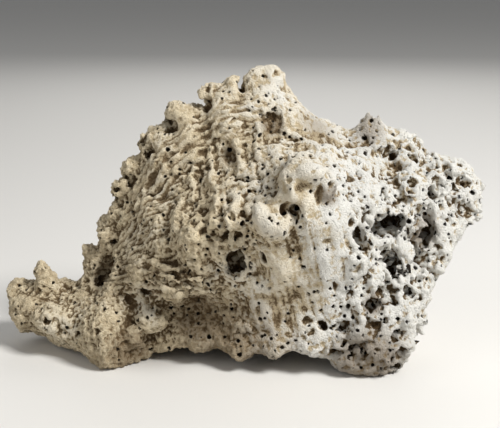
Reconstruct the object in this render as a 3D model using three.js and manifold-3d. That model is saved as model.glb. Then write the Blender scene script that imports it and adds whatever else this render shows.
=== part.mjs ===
// A weathered murex shell lying on its side, its siphonal canal to the left (-X), its spire to the right (+X).
// One solid: the whorls of a logarithmic spiral, with the varices, spines, knobs, canal stubs and foot lobes
// fused to it, and the aperture, canal groove and large borings cut out. Millimetres, +Z up, viewed from -Y.
// A place on the shell is a station along the axis from the canal tip, and an angle about the axis in degrees,
// 0 on top at the lip and 90 towards the viewer. Shell that is older lies at larger angles.

import * as THREE from "three";
import { mergeVertices } from "three/addons/utils/BufferGeometryUtils.js";
import Module from "manifold-3d";

const wasm = await Module();
wasm.setup();

// The whole shell, as it rests
const LENGTH = 154; // along the axis, canal tip to the worn apex
const APEX = 165; // station where the spiral would close if the spire were not worn away
const AXIS_TILT = 14; // degrees the spire end is raised
const AXIS_HEIGHT = 39.5; // of the axis above the table, below the shoulder
const AXIS_HEIGHT_AT = 108; // station where that height is taken
const CANAL_END_ROUND = 7; // length of the rounded canal tip
const APEX_ROUND = 14; // length of the rounded, worn apex

// The spiral: sizes at the lip, shrinking with age
const GROWTH = 1.8; // one whorl is this many times the size of the whorl before it
const WHORLS = 3;
const SHOULDER_FROM_APEX = 69; // distance of the lip's shoulder from the apex
const SHOULDER_RADIUS = 37.5;
const RAMP_FALL = 1.15; // steepness of the ramp between shoulder and suture
const CANAL_STATION = 28; // where the body has narrowed to the canal
const CANAL_RADIUS = 9;
const BULGE_YOUNG = 0.85; // exponent of the body's outline at the lip: below 1 is full
const BULGE_OLD = 1.5; // the same one whorl earlier
const LIP_FADE = 24; // degrees over which the lip drops to the older whorl in front of it

// How far the canal's centre line bows away from the axis: station and lift
const CANAL_BOW = [
  [0, -1.5],
  [18, -8],
  [40, -6],
  [66, 0],
  [LENGTH, 0],
];

// Varices: angle, height at the shoulder, the share of the way from canal to shoulder over which they climb
// to it, and the share by which the crest rises and falls in lobes
const VARICES = [
  { angle: 3, height: 11.6, climb: 0.46, lobes: 0.06 },
  { angle: 62, height: 5, climb: 0.85, lobes: 0.2 },
  { angle: 136, height: 13, climb: 0.4, lobes: 0.07 },
  { angle: 206, height: 10.5, climb: 0.45, lobes: 0.1 },
  { angle: 282, height: 4.5, climb: 0.8, lobes: 0.35 },
];
const VARIX_LOBE_SPACING = 10.5;
const VARIX_TRAIL = 17; // degrees of slope on the older side
const VARIX_LEAD = 11; // degrees of slope on the growing side
const VARIX_EDGE = 2.5; // exponent of the crest's outline: above 2 is broad
const VARIX_AT_CANAL = 0.25; // share of the height left at the canal
const VARIX_CANAL_FADE = [8, 40]; // stations over which a varix fades out along the canal
const VARIX_RAMP_FADE = [0.5, 0.95]; // the same up the ramp, in shares of the shoulder's apex distance

// Spiral cords, worn uneven, and the lumps of worn shell: waves around, radians per millimetre along
const CORDS = 8;
const CORD_HEIGHT = 0.55;
const CORD_CROWDING = 0.8; // below 1 draws the cords together near the shoulder
const CORD_FADE = 0.2; // share of the way to the shoulder over which the cords rise from the canal
const LUMP_HEIGHT = 0.55;
const LUMP_WAVES = [
  { around: 5, along: 0.21 },
  { around: -7, along: 0.34 },
  { around: 3, along: 0.47 },
];

// Swellings (+) and hollows (-) of the skin: height, half sizes along the axis and around it, and the exponent
// of their edge, 2 for a soft rise and more for a lobe with a flat crown
const SWELLS = [
  { station: 116, angle: 156, height: 14, along: 14, around: 15, edge: 4 }, // front foot, below the spire
  { station: 33, angle: 127, height: 13.5, along: 8.5, around: 9, edge: 2.6 }, // front foot, below the canal
  { station: 25, angle: 101, height: 6.2, along: 13, around: 7, edge: 4 }, // stub of an earlier canal
  { station: 104, angle: 204, height: 9, along: 12, around: 11, edge: 2.6 }, // rear feet
  { station: 56, angle: 206, height: 8, along: 10, around: 9, edge: 2.6 },
  { station: 60, angle: 120, height: -4.5, along: 9, around: 8, edge: 2 }, // hollow below the old lamellae
  { station: 60, angle: 93, height: 2.6, along: 11, around: 6, edge: 2.6 }, // ledge of old lamellae
  { station: 93, angle: 22, height: -3, along: 5, around: 5, edge: 2 }, // pocket under the shoulder spine
  { station: 80, angle: 27, height: -1.6, along: 5, around: 5, edge: 2 },
  { station: 105, angle: 60, height: -3.5, along: 5, around: 6, edge: 2 }, // hollow beside the knobs
  { station: 98, angle: 56, height: 3, along: 8, around: 10, edge: 2.6 }, // swelling that carries the knobs
  { station: 114, angle: 36, height: 2.6, along: 9, around: 6, edge: 2.6 }, // pale edge of the shoulder
  { station: 108, angle: 6, height: -4.6, along: 10, around: 11, edge: 2 }, // saddle on the ramp
  { station: 113, angle: 84, height: 1.8, along: 10, around: 9, edge: 2 },
  { station: 127, angle: 60, height: 1.6, along: 8, around: 7, edge: 2 },
  { station: 135, angle: 97, height: -1.8, along: 7, around: 6, edge: 2 },
];

// Blunt spines along the lip: their stations, the sizes of the last one, and the first one's share of that
const LIP_SPINE_STATIONS = [38.5, 44.6, 50, 57, 67.5, 77.5, 86.5];
const LIP_SPINE = { length: 4.4, root: 5.4, tip: 3 };
const LIP_SPINE_FIRST = 0.62;

// Single spines, in the resting frame: base, lean, length, and radii at root and tip
const SPINES = [
  { base: [4.8, 0, 76.5], lean: [0.03, 0, 1], length: 10.8, root: 7.4, tip: 5.4 }, // broken shoulder spine
  { base: [36.2, -3, 64], lean: [0.05, 0, 1], length: 10.2, root: 9.5, tip: 2.6 }, // spine of the whorl before
  { base: [25.5, -3, 65], lean: [0, 0, 1], length: 5.2, root: 4.2, tip: 1.6 },
  { base: [-61.5, -3, 15], lean: [-0.28, 0, 1], length: 12.5, root: 4.6, tip: 2.1 }, // canal spines
  { base: [-46.5, 0, 17], lean: [-0.3, 0, 1], length: 15, root: 5.6, tip: 2.6 },
  { base: [-36, 7, 12], lean: [-0.4, 1, 0.2], length: 7, root: 4.6, tip: 2.2 },
];

// Knobs of a broken hollow spine, in the resting frame: centre and half sizes
const LOBES = [
  { centre: [14.3, -30, 61], size: [6.2, 5.2, 6.2] },
  { centre: [18.2, -31, 56.5], size: [3.8, 4.4, 6.4] },
  { centre: [5.8, -34.6, 48.6], size: [5, 4.4, 5.2] },
];
const LOBE_DETAIL = 2; // subdivisions of a lobe's faces
const LOBE_WOBBLE = 0.07; // unevenness of a lobe, as a share of its size
const LOBE_WAVES = [4.1, 3.7, 5.3]; // radians of that unevenness per half size

// Large borings and broken pockets: place on the skin, depth, and radii at mouth and bottom
const BORINGS = [
  { station: 119.6, angle: 86, length: 7, root: 2.7, tip: 1.9 },
  { station: 134.6, angle: 70, length: 6, root: 2.2, tip: 1.5 },
  { station: 126.8, angle: 23, length: 5, root: 1.6, tip: 1.2 },
  { station: 119.5, angle: 111, length: 6, root: 2.1, tip: 1.5 },
  { station: 131.6, angle: 108, length: 5, root: 2, tip: 1.4 },
  { station: 122.5, angle: 122, length: 5, root: 1.6, tip: 1.2 },
  { station: 111.3, angle: 129, length: 5, root: 1.9, tip: 1.4 },
  { station: 102, angle: 135, length: 5, root: 1.9, tip: 1.4 },
  { station: 76.3, angle: 84, length: 6, root: 2.3, tip: 1.6 },
  { station: 95, angle: 65, length: 8, root: 3, tip: 2 }, // hollow between the knobs
  { station: 44.8, angle: 84, length: 4, root: 1.8, tip: 1.3 },
  { station: 35.5, angle: 26, length: 5, root: 5, tip: 3.4 }, // pocket behind the canal spine
];

// The outline that spines and borings share
const SPINE_SIDES = 7;
const SPINE_SUNK = 0.9; // length of the root below the base, as a share of its radius
const SPINE_WAIST = { taper: 0.4, at: 0.35 }; // share of the taper reached at a share of the length
const SPINE_CROWN = { radius: 0.6, from: 0.8 }; // flat end as a share of the tip, and where its edge begins

// The aperture, a horn wound into the body: angle, middle station and radius, and half sizes of its section
const APERTURE = [
  { angle: -62, station: 72, radius: 34, along: 21, across: 12.5 },
  { angle: -8, station: 73, radius: 30, along: 20, across: 9.6 },
  { angle: 18, station: 75, radius: 25.6, along: 16, across: 6.2 },
  { angle: 46, station: 77, radius: 23, along: 11, across: 4.6 },
  { angle: 76, station: 79, radius: 21, along: 6, across: 3 },
];
const APERTURE_SLOPE = 0.26; // rise of the section's middle towards the shoulder
const APERTURE_RINGS = 12;
const APERTURE_SEGMENTS = 16;

// The slit of the siphonal canal, open on the aperture's side
const GROOVE = { from: 9, to: 60, angle: -42, halfWidth: 1.9, depth: 5.5, rings: 10, segments: 6 };

// Fineness of the body's skin, and degrees by which its segments are drawn towards the lip
const RINGS = 60;
const SEGMENTS = 44;
const LIP_CROWDING = 24;

const TURN = 360;
const deg = THREE.MathUtils.degToRad;
const { clamp, lerp, smoothstep } = THREE.MathUtils;
const vector = (list) => new THREE.Vector3(...list);

const canalBow = new THREE.SplineCurve(CANAL_BOW.map(([station, lift]) => new THREE.Vector2(station, lift)));
const liftAt = (station) => canalBow.getPointAt(clamp(station / LENGTH, 0, 1)).y;

// Size of the spiral at an age, in degrees back from the lip
const sizeAt = (age) => GROWTH ** (-age / TURN);
const shoulderStation = (age) => APEX - SHOULDER_FROM_APEX * sizeAt(age);

// Distance from the apex, as a share of the shoulder's distance at that age
const apexShare = (station, age) => (APEX - station) / (SHOULDER_FROM_APEX * sizeAt(age));

// Share of the way from the canal (0) to the shoulder (1)
function bodyShare(station, age) {
  return clamp((station - CANAL_STATION) / (shoulderStation(age) - CANAL_STATION), 0, 1);
}

// Share of a varix's height: full at the shoulder, less towards canal and suture
function varixShare(station, age, climb) {
  const share = bodyShare(station, age);
  if (share === 1) return smoothstep(apexShare(station, age), ...VARIX_RAMP_FADE);
  return lerp(VARIX_AT_CANAL, 1, smoothstep(share, 0, climb)) * smoothstep(station, ...VARIX_CANAL_FADE);
}

function varixHeight(station, age) {
  let height = 0;
  for (const varix of VARICES) {
    for (let turn = 0; turn < WHORLS; turn++) {
      const off = age - varix.angle - turn * TURN;
      const width = off > 0 ? VARIX_TRAIL : VARIX_LEAD;
      const bell = Math.exp(-(Math.abs(off / width) ** VARIX_EDGE));
      const lobes = 1 + varix.lobes * Math.sin((2 * Math.PI * station) / VARIX_LOBE_SPACING + varix.angle);
      height += bell * lobes * varix.height * varixShare(station, age, varix.climb) * sizeAt(turn * TURN);
    }
  }
  return height;
}

// Radius of one whorl of the spiral
function whorlRadius(station, age) {
  const shoulder = SHOULDER_RADIUS * sizeAt(age);
  const fromApex = apexShare(station, age);
  if (fromApex < 1) {
    return Math.max(0, shoulder * (1 - RAMP_FALL * (1 - fromApex))) + varixHeight(station, age);
  }
  const share = bodyShare(station, age);
  const bulge = Math.sin(0.5 * Math.PI * share) ** lerp(BULGE_YOUNG, BULGE_OLD, age / TURN);
  const groove = Math.cos(2 * Math.PI * CORDS * share ** CORD_CROWDING) * smoothstep(share, 0, CORD_FADE);
  return lerp(CANAL_RADIUS, shoulder, bulge) - CORD_HEIGHT * groove + varixHeight(station, age);
}

// Lumps, swellings and hollows of the worn skin
function wornHeight(station, angle, radius) {
  let height = 0;
  for (const wave of LUMP_WAVES) {
    height += LUMP_HEIGHT * Math.sin(wave.around * deg(angle) + wave.along * station);
  }
  for (const swell of SWELLS) {
    const turned = ((angle - swell.angle + 1.5 * TURN) % TURN) - 0.5 * TURN;
    const away = Math.hypot((station - swell.station) / swell.along, (radius * deg(turned)) / swell.around);
    height += swell.height * Math.exp(-(away ** swell.edge));
  }
  return height;
}

// Share of the full radius near a rounded end
function roundEnd(fromEnd, length) {
  return Math.sqrt(1 - (1 - clamp(fromEnd / length, 0, 1)) ** 2);
}

// Radius of the shell's outside
function shellRadius(station, angle) {
  const age = ((angle % TURN) + TURN) % TURN;
  let radius = 0;
  for (let turn = 0; turn < WHORLS; turn++) {
    radius = Math.max(radius, whorlRadius(station, age + turn * TURN));
  }
  const beforeLip = age - TURN;
  if (beforeLip > -LIP_FADE) {
    const lip = Math.max(radius, whorlRadius(station, beforeLip));
    radius = lerp(radius, lip, smoothstep(beforeLip, -LIP_FADE, 0));
  }
  radius += wornHeight(station, angle, radius);
  return radius * roundEnd(station, CANAL_END_ROUND) * roundEnd(LENGTH - station, APEX_ROUND);
}

// A point at a radius from the shell's centre line, in the resting frame
const canalTip = new THREE.Vector3(-LENGTH / 2, 0, AXIS_HEIGHT - AXIS_HEIGHT_AT * Math.sin(deg(AXIS_TILT)));
const sideways = new THREE.Vector3(0, 1, 0);
function shellPoint(station, angle, radius) {
  const across = -radius * Math.sin(deg(angle));
  const up = liftAt(station) + radius * Math.cos(deg(angle));
  return new THREE.Vector3(station, across, up).applyAxisAngle(sideways, -deg(AXIS_TILT)).add(canalTip);
}
const skinPoint = (station, angle) => shellPoint(station, angle, shellRadius(station, angle));

// Outward direction of a varix crest, in the plane of the axis
function crestDirection(station, angle) {
  const step = 3;
  const along = skinPoint(station + step, angle).sub(skinPoint(station - step, angle)).normalize();
  const outward = shellPoint(station, angle, 1).sub(shellPoint(station, angle, 0));
  return outward.addScaledVector(along, -outward.dot(along)).normalize();
}

// A closed surface of rings between two poles: pointAt(along, around) takes two shares from 0 to 1
function ringedGeometry(rings, segments, pointAt) {
  const points = [pointAt(0, 0)];
  for (let ring = 1; ring < rings; ring++) {
    for (let segment = 0; segment < segments; segment++) {
      points.push(pointAt(ring / rings, segment / segments));
    }
  }
  points.push(pointAt(1, 0));
  const at = (ring, segment) => 1 + (ring - 1) * segments + (segment % segments);
  const last = points.length - 1;
  const indices = [];
  for (let segment = 0; segment < segments; segment++) {
    indices.push(0, at(1, segment + 1), at(1, segment));
    for (let ring = 1; ring < rings - 1; ring++) {
      const [a, b] = [at(ring, segment), at(ring, segment + 1)];
      const [c, d] = [at(ring + 1, segment), at(ring + 1, segment + 1)];
      indices.push(a, b, c, b, d, c);
    }
    indices.push(last, at(rings - 1, segment), at(rings - 1, segment + 1));
  }
  return new THREE.BufferGeometry().setFromPoints(points).setIndex(indices);
}

// The whorls' outside
function bodyGeometry() {
  return ringedGeometry(RINGS, SEGMENTS, (along, around) => {
    const station = LENGTH * along;
    const angle = TURN * around - LIP_CROWDING * Math.sin(2 * Math.PI * around);
    return skinPoint(station, angle);
  });
}

// A blunt spine standing on its base, with its root sunk below it
function spineGeometry(base, direction, { length, root, tip }) {
  const profile = [
    new THREE.Vector2(0, -SPINE_SUNK * root),
    new THREE.Vector2(root, -SPINE_SUNK * root),
    new THREE.Vector2(lerp(root, tip, SPINE_WAIST.taper), SPINE_WAIST.at * length),
    new THREE.Vector2(tip, SPINE_CROWN.from * length),
    new THREE.Vector2(SPINE_CROWN.radius * tip, length),
    new THREE.Vector2(0, length),
  ];
  const turn = new THREE.Quaternion().setFromUnitVectors(sideways, direction.clone().normalize());
  return new THREE.LatheGeometry(profile, SPINE_SIDES).applyQuaternion(turn).translate(base.x, base.y, base.z);
}

// A rounded, uneven lobe
function lobeGeometry({ centre, size }) {
  const geometry = new THREE.IcosahedronGeometry(1, LOBE_DETAIL);
  const position = geometry.attributes.position;
  const point = new THREE.Vector3();
  for (let i = 0; i < position.count; i++) {
    point.fromBufferAttribute(position, i);
    const [a, b, c] = LOBE_WAVES.map((wave, axis) => Math.sin(wave * point.getComponent(axis) + centre[axis]));
    point.multiplyScalar(1 + LOBE_WOBBLE * (a * b + c)).multiply(vector(size)).add(vector(centre));
    position.setXYZ(i, ...point.toArray());
  }
  return geometry;
}

// The hollow of the aperture
function apertureGeometry() {
  const curve = (name) => new THREE.SplineCurve(APERTURE.map((row, i) => new THREE.Vector2(i, row[name])));
  const [angle, station, radius, halfLength, halfWidth] = Object.keys(APERTURE[0]).map(curve);
  return ringedGeometry(APERTURE_RINGS, APERTURE_SEGMENTS, (along, around) => {
    const open = along === 0 || along === 1 ? 0 : 1;
    const away = open * halfLength.getPoint(along).y * Math.cos(2 * Math.PI * around);
    const out = open * halfWidth.getPoint(along).y * Math.sin(2 * Math.PI * around);
    const middle = radius.getPoint(along).y + APERTURE_SLOPE * away;
    return shellPoint(station.getPoint(along).y + away, angle.getPoint(along).y, middle + out);
  });
}

// The slit of the canal
function grooveGeometry() {
  return ringedGeometry(GROOVE.rings, GROOVE.segments, (along, around) => {
    const station = lerp(GROOVE.from, GROOVE.to, along);
    const open = along === 0 || along === 1 ? 0 : 1;
    const skin = shellRadius(station, GROOVE.angle);
    const wide = open * GROOVE.halfWidth * Math.cos(2 * Math.PI * around);
    const deep = open * GROOVE.depth * Math.sin(2 * Math.PI * around);
    return shellPoint(station, GROOVE.angle - THREE.MathUtils.radToDeg(wide / skin), skin + deep);
  });
}

// A three.js geometry as a solid that can be joined and cut
function solid(geometry) {
  const bare = geometry.clone();
  bare.deleteAttribute("normal");
  bare.deleteAttribute("uv");
  const merged = mergeVertices(bare, 1e-4);
  const corners = merged.index.array;
  const triangles = [];
  for (let i = 0; i < corners.length; i += 3) {
    const [a, b, c] = [corners[i], corners[i + 1], corners[i + 2]];
    if (a !== b && b !== c && c !== a) triangles.push(a, b, c);
  }
  return new wasm.Manifold(
    new wasm.Mesh({
      numProp: 3,
      vertProperties: new Float32Array(merged.attributes.position.array),
      triVerts: new Uint32Array(triangles),
    }),
  );
}

// The spines of the lip, growing from the canal to the shoulder
function lipSpines() {
  const { angle } = VARICES[0];
  return LIP_SPINE_STATIONS.map((station, i) => {
    const scale = lerp(LIP_SPINE_FIRST, 1, i / (LIP_SPINE_STATIONS.length - 1));
    const { length, root, tip } = LIP_SPINE;
    const size = { length: scale * length, root: scale * root, tip: scale * tip };
    return solid(spineGeometry(skinPoint(station, angle), crestDirection(station, angle), size));
  });
}

// Everything that stands on the body, then everything that is cut out of it
function shellSolid() {
  let made = solid(bodyGeometry());
  const joined = lipSpines();
  for (const spine of SPINES) {
    joined.push(solid(spineGeometry(vector(spine.base), vector(spine.lean), spine)));
  }
  for (const lobe of LOBES) joined.push(solid(lobeGeometry(lobe)));
  for (const piece of joined) made = made.add(piece);

  const cutters = [solid(apertureGeometry()), solid(grooveGeometry())];
  for (const boring of BORINGS) {
    const { station, angle } = boring;
    const into = crestDirection(station, angle).negate();
    cutters.push(solid(spineGeometry(skinPoint(station, angle), into, boring)));
  }
  const below = new THREE.BoxGeometry(2 * LENGTH, LENGTH, LENGTH).translate(0, 0, -LENGTH / 2);
  cutters.push(solid(below));
  for (const cutter of cutters) made = made.subtract(cutter);
  return made;
}

// The finished solid as a mesh geometry, standing over the middle of its own footprint
function shellGeometry() {
  const { vertProperties, triVerts } = shellSolid().getMesh();
  const geometry = new THREE.BufferGeometry();
  geometry.setAttribute("position", new THREE.BufferAttribute(new Float32Array(vertProperties), 3));
  geometry.setIndex(new THREE.BufferAttribute(new Uint32Array(triVerts), 1));
  geometry.computeBoundingBox();
  const middle = geometry.boundingBox.getCenter(new THREE.Vector3());
  geometry.translate(-middle.x, -middle.y, 0);
  geometry.computeVertexNormals();
  return geometry;
}

const chalk = new THREE.MeshStandardMaterial({ color: 0xcdc3ae, roughness: 0.9, metalness: 0 });
const shell = new THREE.Mesh(shellGeometry(), chalk);
shell.name = "shell";

const murex = new THREE.Group();
murex.add(shell);
export default murex;
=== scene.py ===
import math
import random

import bpy
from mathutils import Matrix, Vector


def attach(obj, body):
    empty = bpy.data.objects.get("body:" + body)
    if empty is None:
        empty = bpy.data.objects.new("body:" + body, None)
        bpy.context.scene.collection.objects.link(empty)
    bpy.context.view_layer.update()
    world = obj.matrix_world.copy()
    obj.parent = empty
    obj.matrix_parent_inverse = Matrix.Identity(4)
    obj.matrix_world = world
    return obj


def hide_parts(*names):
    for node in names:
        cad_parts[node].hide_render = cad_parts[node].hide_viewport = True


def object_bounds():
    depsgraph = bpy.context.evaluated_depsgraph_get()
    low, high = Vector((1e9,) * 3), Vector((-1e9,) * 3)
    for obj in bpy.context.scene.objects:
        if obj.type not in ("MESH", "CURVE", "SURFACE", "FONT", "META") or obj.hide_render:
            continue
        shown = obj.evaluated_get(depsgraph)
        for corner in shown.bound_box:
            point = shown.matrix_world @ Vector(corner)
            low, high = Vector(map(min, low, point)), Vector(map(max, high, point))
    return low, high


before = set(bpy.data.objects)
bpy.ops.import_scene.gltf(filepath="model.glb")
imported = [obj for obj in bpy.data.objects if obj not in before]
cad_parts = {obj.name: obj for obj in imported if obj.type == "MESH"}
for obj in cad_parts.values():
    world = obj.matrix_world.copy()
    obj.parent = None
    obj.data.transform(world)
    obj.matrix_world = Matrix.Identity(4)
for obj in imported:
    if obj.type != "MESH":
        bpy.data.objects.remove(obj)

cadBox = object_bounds()
mm = 0.001


# small helpers

def selectOnly(obj):
    bpy.ops.object.select_all(action="DESELECT")
    obj.select_set(True)
    bpy.context.view_layer.objects.active = obj


def applyModifier(obj, kind, **settings):
    selectOnly(obj)
    bpy.ops.object.modifier_add(type=kind)
    modifier = obj.modifiers[-1]
    for name, value in settings.items():
        setattr(modifier, name, value)
    bpy.ops.object.modifier_apply(modifier=modifier.name)


def addNode(tree, kind, inputs=None, **settings):
    node = tree.nodes.new(kind)
    for name, value in settings.items():
        setattr(node, name, value)
    for name, value in (inputs or {}).items():
        if isinstance(value, bpy.types.NodeSocket):
            tree.links.new(value, node.inputs[name])
        else:
            node.inputs[name].default_value = value
    return node


def calc(tree, operation, a, b=0.0, clamp=False):
    node = addNode(tree, "ShaderNodeMath", {0: a, 1: b}, operation=operation, use_clamp=clamp)
    return node.outputs[0]


def vectorCalc(tree, operation, a, b):
    node = addNode(tree, "ShaderNodeVectorMath", {0: a, 1: b}, operation=operation)
    return node.outputs[1 if operation in ("DISTANCE", "DOT_PRODUCT") else 0]


def ramp(tree, value, low, high, toLow=0.0, toHigh=1.0, smooth=True):
    node = addNode(
        tree, "ShaderNodeMapRange",
        {"Value": value, "From Min": low, "From Max": high, "To Min": toLow, "To Max": toHigh},
        interpolation_type="SMOOTHSTEP" if smooth else "LINEAR",
    )
    return node.outputs["Result"]


def noise(tree, vector, size, detail=2.0, rough=0.5):
    node = addNode(
        tree, "ShaderNodeTexNoise",
        {"Vector": vector, "Scale": 1 / size, "Detail": detail, "Roughness": rough},
    )
    return node


def swing(tree, field, amount):  # a 0..1 field as a push of plus or minus amount
    return calc(tree, "MULTIPLY", calc(tree, "SUBTRACT", field, 0.5), 2 * amount)


def total(tree, values):
    result = values[0]
    for value in values[1:]:
        result = calc(tree, "ADD", result, value)
    return result


def highest(tree, values):
    result = values[0]
    for value in values[1:]:
        result = calc(tree, "MAXIMUM", result, value)
    return result


def nearSpots(tree, place, spots):  # 1 in the middle of each (x, y, z, radius) in mm, 0 outside it
    masks = []
    for x, y, z, radius in spots:
        apart = vectorCalc(tree, "DISTANCE", place, (x * mm, y * mm, z * mm))
        masks.append(ramp(tree, apart, radius * mm * 1.25, radius * mm * 0.45))
    return highest(tree, masks)


# the shell's skin: a blended copy of the solid, with lumps grown on and borings cut in

skin = {
    "blendVoxel": 1.0 * mm,
    "blendRounds": 4,
    "boredVoxel": 0.42 * mm,
    "fineVoxel": 0.36 * mm,
    "triangles": 198000,
    "seed": 41,
    "widen": 1.3,  # the listed borings are cut this much wider
    "deepen": 1.25,
    "lean": (0.0, -0.9, 0.25),  # added to the skin's normal at a listed boring
    "ragged": 0.11,  # how far a lump is roughened, as a part of its width
}

growths = [  # x, y, z, half width, half height, half depth in mm: lip knobs, broken spine, knob pair
    (-9.2, 3.6, 79.2, 4.1, 3.7, 4.0), (-3.2, 1.2, 79.8, 2.1, 3.0, 2.6),
    (-19.4, 2.2, 73.4, 3.8, 3.6, 3.8), (-26.6, 2.4, 66.0, 3.8, 3.8, 3.8),
    (-28.8, 1.4, 61.4, 2.3, 2.0, 2.4),
    (-33.0, 2.6, 56.8, 3.7, 3.0, 3.4), (-37.0, 2.8, 50.4, 3.6, 2.4, 3.0), (-38.8, 2.8, 42.2, 3.0, 2.5, 2.8),
    (-40.8, 2.0, 36.0, 2.8, 2.3, 2.8), (3.6, 2.6, 83.2, 2.4, 4.0, 3.4), (8.6, 2.6, 82.8, 3.6, 4.2, 3.8),
    (-56.0, -7.0, 12.0, 8.0, 4.2, 5.0), (-35.0, -13.5, 8.0, 6.0, 5.0, 4.5),
    (-27.0, -14.0, 14.0, 4.4, 4.0, 3.6),
    (-44.0, -10.0, 14.5, 5.0, 3.6, 4.0), (34.0, -20.0, 5.0, 9.0, 5.0, 6.0),
    (53.0, -13.0, 21.5, 3.4, 3.6, 4.0), (51.0, -15.0, 13.5, 3.6, 4.2, 4.0),
    (8.2, -31.6, 49.2, 5.4, 3.8, 4.4), (4.8, -31.0, 51.4, 2.0, 3.4, 3.0), (11.2, -28.6, 55.4, 2.9, 3.4, 4.0),
    (12.8, -28.0, 60.4, 3.4, 3.0, 4.2), (18.0, -28.4, 62.4, 4.6, 2.8, 4.4),
    (23.0, -27.0, 58.6, 2.2, 4.4, 3.8),
    (17.2, -30.8, 52.0, 1.5, 4.8, 3.6), (13.2, -31.0, 57.4, 1.4, 3.6, 3.2),
]

borings = [  # x, y, z, wide, high, deep in mm, turn in degrees: the large holes
    (40.8, -16.8, 43.9, 7.6, 6.4, 6.5, 20),
    (37.6, -20.0, 46.6, 2.6, 2.2, 3.4, 0),
    (54.5, -10.2, 51.1, 2.9, 4.3, 5.0, 15),
    (33.2, -25.3, 43.1, 2.0, 4.0, 4.5, 20),
    (54.4, -8.8, 39.5, 3.2, 6.4, 5.0, -8),
    (43.8, -19.0, 32.4, 3.0, 4.2, 6.0, -15),
    (48.7, -19.9, 25.0, 2.3, 2.8, 4.0, 0),
    (37.5, -23.1, 22.2, 3.2, 3.6, 4.5, 30),
    (29.5, -24.6, 15.5, 3.2, 2.6, 4.5, 10),
    (44.7, -24.9, 13.5, 2.1, 2.1, 3.4, 0),
    (22.8, -22.7, 15.7, 1.6, 4.0, 3.6, 35),
    (43.9, -2.6, 62.0, 2.7, 2.7, 5.0, 0),
    (44.0, -5.4, 60.1, 1.9, 1.5, 2.4, 0),
    (50.9, -2.4, 60.7, 1.6, 1.3, 3.0, 0),
    (53.7, -1.3, 60.1, 1.3, 1.3, 3.0, 0),
    (58.8, -7.5, 54.3, 1.7, 1.7, 3.0, 0),
    (67.1, -1.7, 53.2, 2.6, 2.2, 3.0, 0),
    (-1.6, -22.0, 34.4, 3.4, 4.0, 5.0, -10),
    (5.7, -25.4, 37.0, 1.2, 3.2, 3.0, 20),
    (-30.1, -12.7, 22.4, 2.3, 2.0, 4.0, 0),
    (-39.9, -0.7, 34.0, 2.4, 2.0, 3.0, 0),
    (-42.0, -1.5, 24.0, 7.5, 5.5, 4.0, 0),
    (-29.6, 0.4, 65.4, 1.6, 2.4, 2.2, 0),
    (8.4, -8.0, 72.0, 5.2, 6.0, 2.0, 0),
    (-4.5, -10.5, 63.5, 5.6, 4.0, 0.8, -15),
    (-13.5, -10.5, 58.0, 3.4, 5.2, 0.8, 10),
    (-10.0, 0.6, 75.6, 4.0, 3.4, 2.4, 0),
    (-20.6, -0.6, 69.6, 4.4, 3.4, 2.4, 30),
    (-27.6, -1.0, 61.6, 3.6, 3.0, 2.2, 30),
    (-33.8, -0.4, 53.0, 3.4, 2.6, 2.0, 40),
    (-37.6, 0.2, 46.0, 3.0, 2.6, 2.0, 40),
    (20.6, -27.0, 56.6, 2.6, 5.0, 1.0, 0),
    (10.0, -27.9, 55.1, 1.5, 1.4, 3.0, 0),
    (13.9, -29.9, 55.9, 1.5, 1.3, 3.0, 0),
    (10.9, -31.5, 52.0, 2.2, 3.4, 2.6, -30),
    (15.0, -30.3, 50.2, 1.2, 2.4, 2.2, 20),
    (0.2, -1.0, 84.0, 2.0, 6.0, 6.0, 0),
    (-15.0, 1.0, 78.2, 2.8, 3.6, 6.0, 25),
    (-23.8, 1.5, 71.6, 2.4, 3.2, 5.0, 40),
    (-36.4, 1.5, 54.4, 2.2, 1.8, 4.0, 0),
    (-40.2, 1.5, 46.6, 2.4, 2.6, 4.0, 0),
]

scatter = {  # seeded holes, some only by the spire: counts, and smallest and largest width in mm
    "spireHoles": 50,
    "bodyHoles": 70,
    "small": 1.1,
    "large": 2.6,
    "spireFrom": 20 * mm,
    "middle": 40 * mm,
    "outside": 60 * mm,
}


def copyOfNode(node, name):
    piece = bpy.data.objects.new(name, node.data.copy())
    bpy.context.scene.collection.objects.link(piece)
    selectOnly(piece)
    bpy.ops.object.mode_set(mode="EDIT")
    bpy.ops.mesh.select_all(action="SELECT")
    bpy.ops.mesh.remove_doubles(threshold=0.001 * mm)
    bpy.ops.object.mode_set(mode="OBJECT")
    return piece


def startLumps(name):  # an empty mesh object, left in edit mode
    bpy.ops.object.select_all(action="DESELECT")
    bpy.ops.mesh.primitive_ico_sphere_add(radius=mm)
    lumps = bpy.context.object
    lumps.name = name
    bpy.ops.object.mode_set(mode="EDIT")
    bpy.ops.mesh.select_all(action="SELECT")
    bpy.ops.mesh.delete(type="VERT")
    return lumps


def addLump(place, normal, size, turn, seed):
    spin = normal.to_track_quat("Z", "Y").to_matrix().to_4x4()
    spin = spin @ spin.Rotation(math.radians(turn), 4, "Z")
    bpy.ops.mesh.select_all(action="DESELECT")
    bpy.ops.mesh.primitive_ico_sphere_add(
        subdivisions=3, radius=1.0, location=place, rotation=spin.to_euler(),
        scale=(size[0] / 2 * mm, size[1] / 2 * mm, size[2] * mm),
    )
    offset = skin["ragged"] * min(size[:2]) * mm
    bpy.ops.transform.vertex_random(offset=offset, uniform=0.2, normal=0.6, seed=seed)


def surfaceAt(piece, place):
    found, spot, normal, index = piece.closest_point_on_mesh(place)
    return spot, normal


def leanOut(normal):  # a listed boring is cut towards the front as much as into the skin
    return (normal + Vector(skin["lean"])).normalized()


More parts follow.
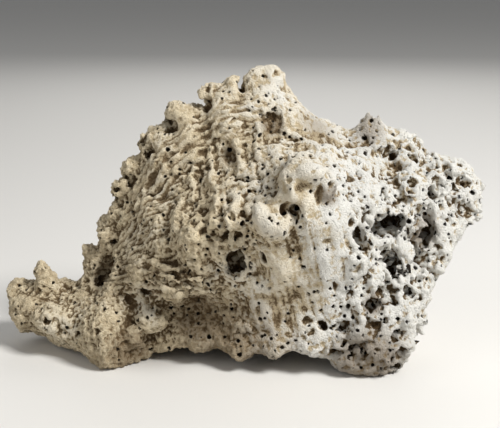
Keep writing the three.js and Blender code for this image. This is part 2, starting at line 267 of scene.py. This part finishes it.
def buildSkin(node):
    piece = copyOfNode(node, "shell_skin")
    lumps = startLumps("growths")
    for index, (x, y, z, wide, high, deep) in enumerate(growths):
        addLump(Vector((x, y, z)) * mm, Vector((0, -1, 0)), (wide * 2, high * 2, deep), 0, index)
    bpy.ops.object.mode_set(mode="OBJECT")
    selectOnly(piece)
    lumps.select_set(True)
    bpy.ops.object.join()
    applyModifier(piece, "REMESH", mode="VOXEL", voxel_size=skin["blendVoxel"])
    applyModifier(piece, "SMOOTH", factor=0.5, iterations=skin["blendRounds"])
    print("skin blended:", len(piece.data.polygons), "faces")
    return piece


def dropCrumbs(piece):  # only the largest closed body stays
    selectOnly(piece)
    bpy.ops.object.mode_set(mode="EDIT")
    bpy.ops.mesh.select_all(action="SELECT")
    bpy.ops.mesh.separate(type="LOOSE")
    bpy.ops.object.mode_set(mode="OBJECT")
    bodies = sorted(bpy.context.selected_objects, key=lambda body: len(body.data.vertices))
    piece.data = bodies[-1].data
    for body in bodies:
        if body != piece:
            bpy.data.objects.remove(body)
    print("crumbs dropped:", len(bodies) - 1)


def boreSkin(piece):
    draw = random.Random(skin["seed"])
    holes = startLumps("borings")
    for index, (x, y, z, wide, high, deep, turn) in enumerate(borings):
        spot, normal = surfaceAt(piece, Vector((x, y, z)) * mm)
        size = (wide * skin["widen"], high * skin["widen"], deep * skin["deepen"])
        addLump(spot, leanOut(normal), size, turn, index)
    low, high = (Vector(corner) for corner in cadBox)
    for index in range(scatter["spireHoles"] + scatter["bodyHoles"]):
        bySpire = index < scatter["spireHoles"]
        x = draw.uniform(scatter["spireFrom"] if bySpire else low.x, high.x)
        around = draw.uniform(0, 2 * math.pi)
        y = scatter["outside"] * math.cos(around)
        z = scatter["middle"] + scatter["outside"] * math.sin(around)
        spot, normal = surfaceAt(piece, Vector((x, y, z)))
        wide = draw.uniform(scatter["small"], scatter["large"])
        tall = wide * draw.uniform(0.7, 1.5)
        deep = wide * draw.uniform(0.9, 1.6)
        addLump(spot, normal, (wide, tall, deep), draw.uniform(0, 180), 100 + index)
    bpy.ops.object.mode_set(mode="OBJECT")
    applyModifier(holes, "REMESH", mode="VOXEL", voxel_size=skin["boredVoxel"])
    applyModifier(piece, "BOOLEAN", operation="DIFFERENCE", object=holes, solver="MANIFOLD")
    bpy.data.objects.remove(holes)
    applyModifier(piece, "REMESH", mode="VOXEL", voxel_size=skin["boredVoxel"])
    print("skin bored:", len(piece.data.polygons), "faces")


# weathering: strokes, flakes and cells, then threads, growth lines, pinholes and grain

strokes = {
    "ridge": {"push": 1.3 * mm, "reach": 1.7 * mm, "lines": [
        [(-9.5, -7, 64.5), (-9, -9, 60), (-8.7, -14, 56)],
        [(-2.2, -9.5, 67.5), (-1.5, -12, 64), (-0.5, -15, 60)],
        [(5, -8, 71), (4.5, -10, 67), (4.5, -14, 63)],
        [(-14.5, -8, 61), (-14.5, -11, 56), (-15, -14, 51)],
        [(12, -8, 69), (22, -13.5, 66), (31, -9, 65), (41, -4, 64)],
    ]},
    "lamella": {"push": 1.7 * mm, "reach": 1.0 * mm, "lines": [
        [(-27, -15, 33), (-20, -19, 32), (-13, -21, 30), (-7, -20, 27)],
        [(-27, -15, 30), (-20, -19, 29), (-13, -21, 27), (-8, -19, 25)],
        [(-27, -15, 27), (-21, -18, 26), (-15, -20, 24.5)],
        [(-3.6, -18, 15.3), (-2.4, -19, 12.9), (-1.2, -18, 15.2),
         (0, -19, 12.9), (1.2, -18.5, 15), (2.4, -19, 13)],
    ]},
    "fibre": {"push": 0.9 * mm, "reach": 0.8 * mm, "lines": [
        [(-36, -4.5, 31), (-30.5, -4, 50), (-24, -4.5, 62), (-14, -4, 70), (-3, -5, 75.5), (6, -6, 76)],
        [(-34, -6, 31), (-28.5, -5.5, 49), (-21.5, -5.5, 60), (-12, -5, 68), (-2, -6, 73.5), (6, -7, 74.5)],
        [(-32, -7.5, 31), (-26, -7, 48), (-19, -7, 58.5), (-10, -6.5, 66), (-1, -7.5, 71.5)],
    ]},
    "step": {"push": -4.0 * mm, "reach": 1.5 * mm, "lines": [
        [(53.5, -1.5, 60), (55, -8, 55), (54.5, -11, 50), (54.4, -8.5, 40),
         (51, -12.5, 36.5), (54, -12.7, 31)],
        [(54, -12.7, 31), (57, -11, 26)],
    ]},
    "crack": {"push": -2.6 * mm, "reach": 0.9 * mm, "lines": [
        [(-2.7, -16.6, 58), (2, -17.5, 57.6), (7, -20, 60)],
        [(37, -26, 12), (31, -24, 9), (26, -23, 7)],
        [(-50, -13.5, 9.6), (-45, -13, 10.2)],
    ]},
}

weather = {
    "axisStart": (-74.9 * mm, 5.2 * mm, 13.4 * mm),
    "axisTilt": 14.0,
    "reach": 30 * mm,
    "lumps": 1.8 * mm,
    "humps": 0.7 * mm,
    "flake": 2.1 * mm,
    "plates": 1.2 * mm,
    "scale": 0.4 * mm,
    "cells": 1.3 * mm,
    "crumble": 0.35 * mm,
    "grain": 0.45 * mm,
    "threads": 0.65 * mm,
    "growth": 1.2 * mm,
    "curl": 0.5 * mm,
    "pinhole": 1.7 * mm,
    "pock": 0.5 * mm,
    "lumpSize": 12 * mm,
    "humpSize": 5 * mm,
    "flakeSize": 8 * mm,
    "plateSize": 5.5 * mm,
    "scaleSize": 3.6 * mm,
    "cellSize": 3.6 * mm,
    "cellShare": 0.4,
    "crumbleSize": 2.3 * mm,
    "grainSize": 1.0 * mm,
    "threadSize": 1.5 * mm,
    "growthSize": 1.3 * mm,
    "curlSize": 11 * mm,
    "patchSize": 13 * mm,
    "pockCell": 4.6 * mm,
    "pockRadius": (0.7 * mm, 1.5 * mm),
}

smoothSpots = [  # x, y, z, radius in mm: less eroded places
    (16, -23, 33, 14), (13, -21, 22, 11), (24, -25, 44, 9), (24, -24, 34, 9),
    (7, 2, 84, 5), (-32, -6, 37, 8), (-25, -5, 50, 9), (-17, -4, 64, 9), (-4, -5, 73, 8),
    (15, -29, 58, 8), (8, -31, 50, 6), (24, -8, 69, 9),
]
polishedSpots = [
    (-30, -8, 38, 9), (-24, -6, 50, 10), (-15, -5, 64, 10), (-2, -6, 73, 8),
    (15, -29, 58, 9), (8, -31, 50, 7), (-55, -9, 12, 9), (-65, -2, 16, 9), (7, 2, 84, 6),
]
fibreSpots = [
    (-36, -6, 28, 8), (-30, -8, 38, 9), (-24, -6, 50, 10), (-15, -5, 64, 10),
    (-2, -6, 73, 8), (-16, -18, 28, 10),
]
flakeSpots = [
    (46, -16, 40, 26), (44, -20, 16, 20), (56, -4, 52, 18), (-2, -20, 44, 14),
    (60, 8, 40, 26),
]
cellSpots = [
    (42, -22, 22, 18), (46, -18, 36, 12), (24, -24, 12, 9), (-4, -18, 46, 12),
    (46, 14, 30, 22), (0, 22, 40, 22),
]
curlSpots = [
    (-22, -16, 28, 12), (-30, -11, 24, 12), (-12, -15, 18, 10), (-36, -12, 14, 10),
    (-20, -12, 44, 10), (-38, 0, 40, 8),
]


def drawStrokes(piece, name, lines):  # lines laid on the skin, as a mesh of edges
    points, edges = [], []
    for line in lines:
        for (start, end) in zip(line, line[1:]):
            steps = max(2, round((Vector(end) - Vector(start)).length))
            for step in range(steps + 1):
                spot, normal = surfaceAt(piece, Vector(start).lerp(Vector(end), step / steps) * mm)
                if step:
                    edges.append((len(points) - 1, len(points)))
                points.append(spot)
    mesh = bpy.data.meshes.new(name)
    mesh.from_pydata(points, edges, [])
    guide = bpy.data.objects.new(name, mesh)
    bpy.context.scene.collection.objects.link(guide)
    return guide


def alongAxis(tree, place):  # turns the shell's axis onto X, from its canal end
    moved = vectorCalc(tree, "SUBTRACT", place, weather["axisStart"])
    turned = addNode(
        tree, "ShaderNodeVectorRotate",
        {"Vector": moved, "Angle": math.radians(weather["axisTilt"])}, rotation_type="Y_AXIS",
    )
    return turned.outputs[0]


def startGeometry(name):
    tree = bpy.data.node_groups.new(name, "GeometryNodeTree")
    tree.interface.new_socket("Geometry", in_out="INPUT", socket_type="NodeSocketGeometry")
    tree.interface.new_socket("Geometry", in_out="OUTPUT", socket_type="NodeSocketGeometry")
    geometry = addNode(tree, "NodeGroupInput").outputs[0]
    place = addNode(tree, "GeometryNodeInputPosition").outputs[0]
    normal = addNode(tree, "GeometryNodeInputNormal").outputs[0]
    return tree, geometry, place, normal


def store(tree, geometry, name, value, kind="FLOAT"):
    node = addNode(tree, "GeometryNodeStoreNamedAttribute", data_type=kind, domain="POINT")
    tree.links.new(geometry, node.inputs["Geometry"])
    node.inputs["Name"].default_value = name
    tree.links.new(value, node.inputs["Value"])
    return node.outputs[0]


def pushOut(tree, geometry, normal, pushes):
    push = addNode(tree, "ShaderNodeVectorMath", {0: normal, "Scale": total(tree, pushes)}, operation="SCALE")
    moved = addNode(tree, "GeometryNodeSetPosition", {"Geometry": geometry, "Offset": push.outputs[0]})
    return moved.outputs[0]


def swayed(tree, place, size, amount):
    sway = vectorCalc(tree, "SUBTRACT", noise(tree, place, size).outputs["Color"], (0.5, 0.5, 0.5))
    return vectorCalc(tree, "ADD", place, vectorCalc(tree, "MULTIPLY", sway, (2 * amount,) * 3))


def carveTree(guides):
    tree, geometry, place, normal = startGeometry("carving")
    wavy = swayed(tree, place, 3.2 * mm, 1.3 * mm)
    calm = nearSpots(tree, place, smoothSpots)
    rough = calc(tree, "SUBTRACT", 1.0, calc(tree, "MULTIPLY", calm, 0.8))
    humps = noise(tree, wavy, weather["humpSize"], 2.0).outputs[0]
    pushes = [
        swing(tree, noise(tree, place, weather["lumpSize"], 1.0).outputs[0], weather["lumps"]),
        calc(tree, "MULTIPLY", swing(tree, humps, weather["humps"]), rough),
    ]
    for name, guide in guides.items():
        target = addNode(tree, "GeometryNodeObjectInfo", {"Object": guide}).outputs["Geometry"]
        sample = {0: target, "Sample Position": wavy}
        near = addNode(tree, "GeometryNodeProximity", sample, target_element="EDGES")
        shape = ramp(tree, near.outputs["Distance"], strokes[name]["reach"], 0.0)
        pushes.append(calc(tree, "MULTIPLY", shape, strokes[name]["push"]))
    shed = ramp(tree, noise(tree, wavy, weather["flakeSize"], 3.0, 0.6).outputs[0], 0.515, 0.545)
    flaky = calc(tree, "MULTIPLY", nearSpots(tree, place, flakeSpots), rough)
    pushes.append(calc(tree, "MULTIPLY", calc(tree, "MULTIPLY", shed, flaky), -weather["flake"]))
    broken = addNode(tree, "ShaderNodeTexVoronoi", {"Vector": wavy, "Scale": 1 / weather["plateSize"]})
    levels = addNode(tree, "FunctionNodeSeparateColor", {"Color": broken.outputs["Color"]}).outputs[0]
    pushes.append(calc(tree, "MULTIPLY", swing(tree, levels, weather["plates"]), flaky))
    scales = ramp(tree, noise(tree, wavy, weather["scaleSize"], 3.0, 0.65).outputs[0], 0.5, 0.525)
    pushes.append(calc(tree, "MULTIPLY", calc(tree, "MULTIPLY", scales, rough), -weather["scale"]))
    cellPlace = {"Vector": wavy, "Scale": 1 / weather["cellSize"]}
    walls = addNode(tree, "ShaderNodeTexVoronoi", cellPlace, feature="DISTANCE_TO_EDGE")
    cells = addNode(tree, "ShaderNodeTexVoronoi", cellPlace)
    chance = addNode(tree, "FunctionNodeSeparateColor", {"Color": cells.outputs["Color"]}).outputs[0]
    share = calc(tree, "MULTIPLY", nearSpots(tree, place, cellSpots), weather["cellShare"])
    eaten = calc(tree, "LESS_THAN", chance, share)
    pits = calc(tree, "MULTIPLY", ramp(tree, walls.outputs["Distance"], 0.09, 0.24), eaten)
    pushes.append(calc(tree, "MULTIPLY", pits, -weather["cells"]))
    addNode(tree, "NodeGroupOutput", {0: pushOut(tree, geometry, normal, pushes)})
    return tree


pinholes = [  # shift, cell, smallest and largest radius: the same holes in the mesh and in the material
    ((0.0, 0.0, 0.0), 3.0 * mm, 0.42 * mm, 0.80 * mm),
    ((0.31, 0.17, 0.23), 2.4 * mm, 0.34 * mm, 0.58 * mm),
]


def pitLayer(tree, place, keep, shift, cell, small, large, edge=0.62):
    moved = vectorCalc(tree, "ADD", place, shift)
    cells = addNode(tree, "ShaderNodeTexVoronoi", {"Vector": moved, "Scale": 1 / cell, "Randomness": 1.0})
    chance = addNode(tree, "ShaderNodeSeparateXYZ", {0: cells.outputs["Color"]})
    radius = ramp(tree, chance.outputs[0], 0.0, 1.0, small / cell, large / cell, smooth=False)
    inside = calc(tree, "DIVIDE", cells.outputs["Distance"], radius)
    mask = ramp(tree, inside, 1.0, edge)
    kept = calc(tree, "LESS_THAN", chance.outputs[1], keep)
    return calc(tree, "MULTIPLY", mask, kept)


def weatherTree():
    tree, geometry, place, normal = startGeometry("weathering")
    calm = nearSpots(tree, place, smoothSpots)
    rough = calc(tree, "SUBTRACT", 1.0, calc(tree, "MULTIPLY", calm, 0.74))
    wavy = swayed(tree, place, 6 * mm, 1.4 * mm)
    axial = addNode(tree, "ShaderNodeSeparateXYZ", {0: alongAxis(tree, wavy)})
    station, across, up = axial.outputs[0], axial.outputs[1], axial.outputs[2]
    squares = calc(tree, "ADD", calc(tree, "POWER", across, 2.0), calc(tree, "POWER", up, 2.0))
    radius = calc(tree, "SQRT", squares)
    sideways = calc(tree, "MULTIPLY", calc(tree, "DIVIDE", across, radius), weather["reach"])
    upwards = calc(tree, "MULTIPLY", calc(tree, "DIVIDE", up, radius), weather["reach"])

    def shellPlace(stationScale, aroundScale):
        return addNode(tree, "ShaderNodeCombineXYZ", {
            0: calc(tree, "MULTIPLY", station, stationScale),
            1: calc(tree, "MULTIPLY", sideways, aroundScale),
            2: calc(tree, "MULTIPLY", upwards, aroundScale),
        }).outputs[0]

    threads = noise(tree, shellPlace(1.0, 0.11), weather["threadSize"], 2.0, 0.6).outputs[0]
    growth = noise(tree, shellPlace(0.1, 1.0), weather["growthSize"], 2.0, 0.6).outputs[0]
    crumble = noise(tree, wavy, weather["crumbleSize"], 4.0, 0.62).outputs[0]
    ridged = calc(tree, "ABSOLUTE", calc(tree, "SUBTRACT", crumble, 0.5))  # sharp at the field's middle
    curl = addNode(
        tree, "ShaderNodeTexWave",
        {"Vector": shellPlace(0.35, 1.0), "Scale": 1 / weather["curlSize"],
         "Distortion": 7.0, "Detail": 2.0, "Detail Scale": 1.6},
    ).outputs[1]
    coarse = ramp(tree, station, 45 * mm, 95 * mm, 2.0, 1.0)  # coarser by the canal
    gritty = calc(tree, "MULTIPLY", rough, coarse)
    grain = noise(tree, place, weather["grainSize"], 3.0, 0.65).outputs[0]
    matt = calc(tree, "MULTIPLY", nearSpots(tree, place, polishedSpots), 0.85)
    fibrous = calc(tree, "MULTIPLY", nearSpots(tree, place, fibreSpots), 1.5)
    pushes = [
        calc(tree, "MULTIPLY", calc(tree, "SUBTRACT", 0.5, calc(tree, "MULTIPLY", ridged, 6.0)),
             calc(tree, "MULTIPLY", gritty, weather["crumble"])),
        calc(tree, "MULTIPLY", swing(tree, grain, weather["grain"]), gritty),
        calc(tree, "MULTIPLY", swing(tree, threads, weather["threads"]),
             calc(tree, "SUBTRACT", 1.0, matt)),
        calc(tree, "MULTIPLY", swing(tree, growth, weather["growth"]),
             calc(tree, "ADD", 0.16, fibrous)),
        calc(tree, "MULTIPLY", swing(tree, curl, weather["curl"]), nearSpots(tree, place, curlSpots)),
    ]
    patchy = noise(tree, place, weather["patchSize"], 1.0).outputs[0]
    keep = ramp(tree, patchy, 0.3, 0.7, 0.45, 1.0)
    keep = calc(tree, "MULTIPLY", keep, calc(tree, "ADD", 0.25, rough))
    fewer = ramp(tree, station, 35 * mm, 80 * mm, 0.5, 1.0)  # fewer by the canal
    keep = calc(tree, "MULTIPLY", keep, fewer)
    holes = highest(tree, [pitLayer(tree, place, keep, *layer) for layer in pinholes])
    pocks = pitLayer(tree, wavy, keep, (0.11, 0.07, 0.03), weather["pockCell"], *weather["pockRadius"])
    pushes.append(calc(tree, "MULTIPLY", holes, -weather["pinhole"]))
    pushes.append(calc(tree, "MULTIPLY", pocks, -weather["pock"]))
    kept = store(tree, geometry, "keep", keep)
    stored = store(tree, kept, "skinPlace", place, "FLOAT_VECTOR")
    stored = pushOut(tree, stored, normal, pushes)
    addNode(tree, "NodeGroupOutput", {0: stored})
    return tree


# masks the material reads: nooks and hollows, where shade is painted, chalk and light, and soil and shade

# pale spots: partly the shell's own chalk white, partly painted light on the bulges that face the key light
# on the right
chalkAndLitSpots = [
    (31, -20, 55, 15), (42, -20, 34, 20), (46, -20, 18, 18), (60, -6, 46, 16),
    (-55, -9, 13, 9), (10, -3, 82, 6), (-30, -14, 20, 7),
]
# brown spots: stain in some hollows, and painted shade in hollows and along the underside near the floor
soilAndShadeSpots = [
    (-42, -1, 24, 5), (-12, -13, 14, 10), (23, -28, 56, 4), (8.4, -8, 71.5, 4), (-3.6, -10.6, 63, 3.5),
    (36, -25, 5, 13), (52, -8, 40, 6), (37.5, -22, 22, 4), (0, -10, 4, 22),
    (-36, -13, 5, 10), (25, -8, 75, 9), (37, -6, 73, 9),
]


def maskTree():
    tree, geometry, place, normal = startGeometry("masks")
    # nook and hollow: how far each point sits sunk below its blurred neighbours, at a fine and a broad scale;
    # the material paints shade in them and highlight on ridges
    for name, rounds, depth in (("nook", 5, 0.22 * mm), ("hollow", 60, 1.3 * mm)):
        even = addNode(
            tree, "GeometryNodeBlurAttribute",
            {"Value": place, "Iterations": rounds}, data_type="FLOAT_VECTOR",
        ).outputs[0]
        sunk = vectorCalc(tree, "DOT_PRODUCT", vectorCalc(tree, "SUBTRACT", even, place), normal)
        geometry = store(tree, geometry, name, ramp(tree, sunk, -depth, depth, smooth=False))
    # chalk and light: pale chalk plus painted light on the lit faces
    geometry = store(tree, geometry, "chalkAndLight", nearSpots(tree, place, chalkAndLitSpots))
    geometry = store(tree, geometry, "soilAndShade", nearSpots(tree, place, soilAndShadeSpots))
    addNode(tree, "NodeGroupOutput", {0: geometry})
    return tree


def clampTree():  # nothing goes below the floor
    tree, geometry, place, normal = startGeometry("rest on floor")
    parts = addNode(tree, "ShaderNodeSeparateXYZ", {0: place})
    lifted = addNode(
        tree, "ShaderNodeCombineXYZ",
        {0: parts.outputs[0], 1: parts.outputs[1], 2: calc(tree, "MAXIMUM", parts.outputs[2], 0.0)},
    )
    moved = addNode(tree, "GeometryNodeSetPosition", {"Geometry": geometry, "Position": lifted.outputs[0]})
    addNode(tree, "NodeGroupOutput", {0: moved.outputs[0]})
    return tree


def weatherSkin(piece):
    guides = {name: drawStrokes(piece, name, strokes[name]["lines"]) for name in strokes}
    applyModifier(piece, "NODES", node_group=carveTree(guides))
    for guide in guides.values():
        bpy.data.objects.remove(guide)
    applyModifier(piece, "REMESH", mode="VOXEL", voxel_size=skin["fineVoxel"])
    dropCrumbs(piece)
    print("skin carved:", len(piece.data.polygons), "faces")
    applyModifier(piece, "NODES", node_group=weatherTree())
    triangles = 2 * len(piece.data.polygons)
    print("skin weathered:", triangles, "triangles")
    applyModifier(piece, "DECIMATE", ratio=min(1.0, skin["triangles"] / triangles))
    applyModifier(piece, "NODES", node_group=clampTree())
    applyModifier(piece, "NODES", node_group=maskTree())
    selectOnly(piece)
    bpy.ops.object.shade_smooth()
    print("skin thinned:", len(piece.data.polygons), "triangles")


# material: chalk, with brown stain and painted shade in its hollows, painted light on ridges and on the lit
# side, and painted shadow in the pinholes

# colours: the shell's own tones; white, dark brown and near black also serve as painted highlight, painted
# shade and painted shadow
chalkAndLight = {
    "white": (0.78, 0.76, 0.70, 1),
    "bone": (0.79, 0.67, 0.46, 1),
    "cream": (0.56, 0.455, 0.295, 1),
    "tan": (0.23, 0.165, 0.09, 1),
    # brown for the soil and shade spots: stain, and painted shade under the shell
    "soilAndShade": (0.17, 0.115, 0.06, 1),
    # dark brown for nooks and hollows: painted shade, with some brown stain
    "brown": (0.10, 0.062, 0.028, 1),
    # near black for the pinholes: painted shadow inside the holes
    "holeShadow": (0.02, 0.014, 0.009, 1),
    "patch": 16 * mm,
    "mottle": 3.0 * mm,
    "speck": 0.55 * mm,
    "pore": 0.95 * mm,
    "dust": 0.3 * mm,
    "soilAndShadeCover": 0.72,
    "holeCover": 0.93,
    "polished": 0.78,  # roughness of the most and the least worn places
    "dusty": 0.97,
    "specular": 0.25,
    "gritDepth": 0.7 * mm,
}


def blend(tree, amount, first, second):
    node = addNode(tree, "ShaderNodeMix", {0: amount, 6: first, 7: second}, data_type="RGBA")
    return node.outputs[2]


def attribute(tree, name):
    return addNode(tree, "ShaderNodeAttribute", attribute_name=name).outputs["Fac"]


def chalkAndLightMaterial():
    material = bpy.data.materials.new("chalk with painted light and shade")
    material.use_nodes = True
    tree = material.node_tree
    shader = tree.nodes["Principled BSDF"]
    place = addNode(tree, "ShaderNodeTexCoord").outputs["Object"]
    broad = noise(tree, place, chalkAndLight["patch"], 3.0, 0.6).outputs[0]
    mottle = noise(tree, place, chalkAndLight["mottle"], 4.0, 0.65).outputs[0]
    speck = noise(tree, place, chalkAndLight["speck"], 3.0, 0.7).outputs[0]
    nook = attribute(tree, "nook")
    hollow = attribute(tree, "hollow")
    chalkAndLitMask = attribute(tree, "chalkAndLight")

    east = addNode(tree, "ShaderNodeSeparateXYZ", {0: place}).outputs[0]
    # paler at the chalk and light spots, towards +x where the key light falls (painted light), at random, and
    # on ridge tops where nook is low (painted highlight)
    whitenessAndHighlight = total(tree, [
        calc(tree, "MULTIPLY", chalkAndLitMask, 0.4), ramp(tree, east, -35 * mm, 30 * mm, -0.12, 0.28),
        swing(tree, broad, 0.5), swing(tree, mottle, 0.9), swing(tree, speck, 0.9), 0.12,
        calc(tree, "MULTIPLY", calc(tree, "SUBTRACT", 0.5, nook), 1.1),
    ])
    # white rather than bone towards +x and at the chalk and light spots: partly the shell's own tone, partly
    # painted light on the lit side
    whiteAndLitSide = calc(tree, "ADD", ramp(tree, east, -25 * mm, 40 * mm), calc(tree, "MULTIPLY", chalkAndLitMask, 0.3))
    whiteAndLitSide = calc(tree, "ADD", whiteAndLitSide, swing(tree, broad, 0.8), clamp=True)
    pale = blend(tree, whiteAndLitSide, chalkAndLight["bone"], chalkAndLight["white"])
    colour = blend(tree, ramp(tree, whitenessAndHighlight, 0.0, 0.8), chalkAndLight["cream"], pale)
    # tan in broad hollows and fine nooks (painted shade), towards -x, the side away from the key light
    # (painted shade), and at random
    tanAndShade = total(tree, [
        calc(tree, "SUBTRACT", hollow, 0.62), calc(tree, "SUBTRACT", nook, 0.6), swing(tree, mottle, 0.8),
        swing(tree, speck, 1.1), ramp(tree, east, 30 * mm, -35 * mm, -0.15, 0.25),
    ])
    colour = blend(tree, ramp(tree, tanAndShade, -0.2, 0.6), colour, chalkAndLight["tan"])
    # brown at the soil and shade spots: stain, and painted shade under the shell and in hollows
    soiledAndShaded = calc(tree, "MULTIPLY", attribute(tree, "soilAndShade"), chalkAndLight["soilAndShadeCover"])
    colour = blend(tree, soiledAndShaded, colour, chalkAndLight["soilAndShade"])
    # dark brown in nooks and hollows: painted shade, with some brown stain
    dirtAndShade = total(tree, [
        calc(tree, "SUBTRACT", nook, 0.62),
        calc(tree, "MULTIPLY", calc(tree, "SUBTRACT", hollow, 0.6), 0.8), swing(tree, speck, 0.7),
    ])
    colour = blend(tree, ramp(tree, dirtAndShade, 0.08, 0.75), colour, chalkAndLight["brown"])
    skinPlace = addNode(tree, "ShaderNodeAttribute", attribute_name="skinPlace").outputs["Vector"]
    keep = attribute(tree, "keep")
    # the pinholes painted near black: painted shadow inside the holes
    holes = highest(tree, [pitLayer(tree, skinPlace, keep, *layer, edge=0.8) for layer in pinholes])
    colour = blend(tree, calc(tree, "MULTIPLY", holes, chalkAndLight["holeCover"]), colour, chalkAndLight["holeShadow"])
    tree.links.new(colour, shader.inputs["Base Color"])
    worn = calc(tree, "ADD", nook, swing(tree, mottle, 0.4))
    dull = ramp(tree, worn, 0.25, 0.75, chalkAndLight["polished"], chalkAndLight["dusty"])
    tree.links.new(dull, shader.inputs["Roughness"])
    shader.inputs["Specular IOR Level"].default_value = chalkAndLight["specular"]

    cells = addNode(tree, "ShaderNodeTexVoronoi", {"Vector": place, "Scale": 1 / chalkAndLight["pore"]})
    pores = cells.outputs["Distance"]
    dust = noise(tree, place, chalkAndLight["dust"], 2.0, 0.6).outputs[0]
    grit = total(tree, [
        calc(tree, "MULTIPLY", speck, 1.2),
        calc(tree, "MULTIPLY", dust, 0.4),
        calc(tree, "MULTIPLY", ramp(tree, pores, 0.12, 0.4), 0.35),
    ])
    bump = addNode(tree, "ShaderNodeBump", {"Height": grit, "Strength": 1.0, "Distance": chalkAndLight["gritDepth"]})
    tree.links.new(bump.outputs[0], shader.inputs["Normal"])
    return material


# floor, lights and camera

stage = {
    "floor": (0.72, 0.70, 0.66, 1),
    "floorSize": 8,
    "floorRoughness": 0.7,
    "aim": (0, 0, 0.04),
    "keyAt": (0.44, -0.3, 0.6),
    "keySize": 0.22,
    "keyPower": 7.6,
    "fillAt": (-0.5, -0.35, 0.35),
    "fillSize": 0.5,
    "fillPower": 0.9,
    "backAt": (0.05, 0.6, 0.45),
    "backSize": 0.5,
    "backPower": 1.2,
    "sky": (0.95, 0.97, 1.0, 1),
    "skyPower": 0.22,
}
view = {  # lengths in mm, angles in degrees
    "target": (2.1, 5.2, 41.5),
    "distance": 300,
    "elevation": 15,
    "halfAngle": 14.4,
    "sensor": 36,
}


def buildStage():
    bpy.ops.object.select_all(action="DESELECT")
    bpy.ops.mesh.primitive_plane_add(size=stage["floorSize"])
    floor = bpy.context.object
    floor.name = "floor"
    material = bpy.data.materials.new("pale floor")
    material.use_nodes = True
    shader = material.node_tree.nodes["Principled BSDF"]
    shader.inputs["Base Color"].default_value = stage["floor"]
    shader.inputs["Roughness"].default_value = stage["floorRoughness"]
    floor.data.materials.append(material)

    for name in ("key", "fill", "back"):
        place = Vector(stage[name + "At"])
        turn = (Vector(stage["aim"]) - place).to_track_quat("-Z", "Y").to_euler()
        bpy.ops.object.light_add(type="AREA", location=place, rotation=turn)
        light = bpy.context.object
        light.name = name + " light"
        light.data.size = stage[name + "Size"]
        light.data.energy = stage[name + "Power"]

    world = bpy.data.worlds.new("soft room")
    world.use_nodes = True
    sky = world.node_tree.nodes["Background"]
    sky.inputs["Color"].default_value = stage["sky"]
    sky.inputs["Strength"].default_value = stage["skyPower"]
    bpy.context.scene.world = world

    rise = math.radians(view["elevation"])
    target = Vector(view["target"]) * mm
    back = Vector((0, -math.cos(rise), math.sin(rise)))
    turn = (-back).to_track_quat("-Z", "Y").to_euler()
    bpy.ops.object.camera_add(location=target + back * view["distance"] * mm, rotation=turn)
    camera = bpy.context.object
    camera.data.sensor_width = view["sensor"]
    camera.data.lens = view["sensor"] / (2 * math.tan(math.radians(view["halfAngle"])))
    camera.data.clip_start = 0.01
    bpy.context.scene.camera = camera
    bpy.context.scene.view_settings.view_transform = "Standard"
    print("stage set")


shell = buildSkin(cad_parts["shell"])
boreSkin(shell)
weatherSkin(shell)
shell.data.materials.clear()
shell.data.materials.append(chalkAndLightMaterial())
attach(shell, "root")
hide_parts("shell")
buildStage()
